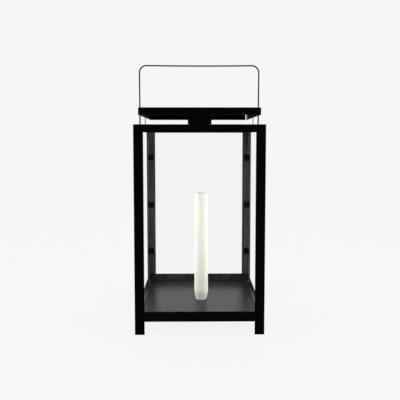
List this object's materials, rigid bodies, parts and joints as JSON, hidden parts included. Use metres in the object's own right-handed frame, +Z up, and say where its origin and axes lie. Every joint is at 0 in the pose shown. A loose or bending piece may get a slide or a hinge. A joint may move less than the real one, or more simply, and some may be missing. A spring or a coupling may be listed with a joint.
{
  "type": "candle lantern",
  "caption": "Square black steel candle lantern with glass panes on every side, a lift-off flat roof, a swinging wire bail handle and a taper candle inside.",
  "frame": {"origin": "middle of the footprint, on the plane that the feet stand on", "axes": "+Z up, +Y towards the back, -Y is the front, +X to the right as seen from the front"},
  "size_m": [0.2064, 0.2, 0.428],
  "materials": {
    "black_coat": "satin black powder coat on mild steel",
    "black_wire": "semi-gloss black coat on steel wire",
    "clear_glass": "clear polished float glass",
    "bright_steel": "plain steel",
    "ivory_wax": "smooth ivory candle wax",
    "cotton": "unburnt braided cotton"
  },
  "bodies": {
    "frame": {"post_front_left": "black_coat", "post_front_right": "black_coat", "post_back_left": "black_coat", "post_back_right": "black_coat", "top_rail_front": "black_coat", "top_rail_back": "black_coat", "top_rail_left": "black_coat", "top_rail_right": "black_coat", "floor_tray": "black_coat", "glass_front": "clear_glass", "glass_back": "clear_glass", "glass_left": "clear_glass", "glass_right": "clear_glass", "clip_front_left_low": "black_coat", "clip_front_left_mid": "black_coat", "clip_front_left_high": "black_coat", "clip_front_right_low": "black_coat", "clip_front_right_mid": "black_coat", "clip_front_right_high": "black_coat", "clip_back_left_low": "black_coat", "clip_back_left_mid": "black_coat", "clip_back_left_high": "black_coat", "clip_back_right_low": "black_coat", "clip_back_right_mid": "black_coat", "clip_back_right_high": "black_coat", "candle_holder_pin": "bright_steel"},
    "handle": {"bail_handle": "black_wire"},
    "roof": {"roof_pan": "black_coat"},
    "candle": {"candle": "ivory_wax", "wick": "cotton"}
  },
  "joints": [
    {"name": "handle_swing", "type": "hinge", "parent": "frame", "child": "handle", "pos_m": [0, 0, 0.319], "axis": [1, 0, 0], "range_deg": [-90, 90]},
    {"name": "roof_lift", "type": "slide", "parent": "frame", "child": "roof", "axis": [0, 0, 1], "range_m": [0, 0.065]},
    {"name": "candle_lift", "type": "slide", "parent": "frame", "child": "candle", "axis": [0, 0, 1], "range_m": [0, 0.06]}
  ]
}
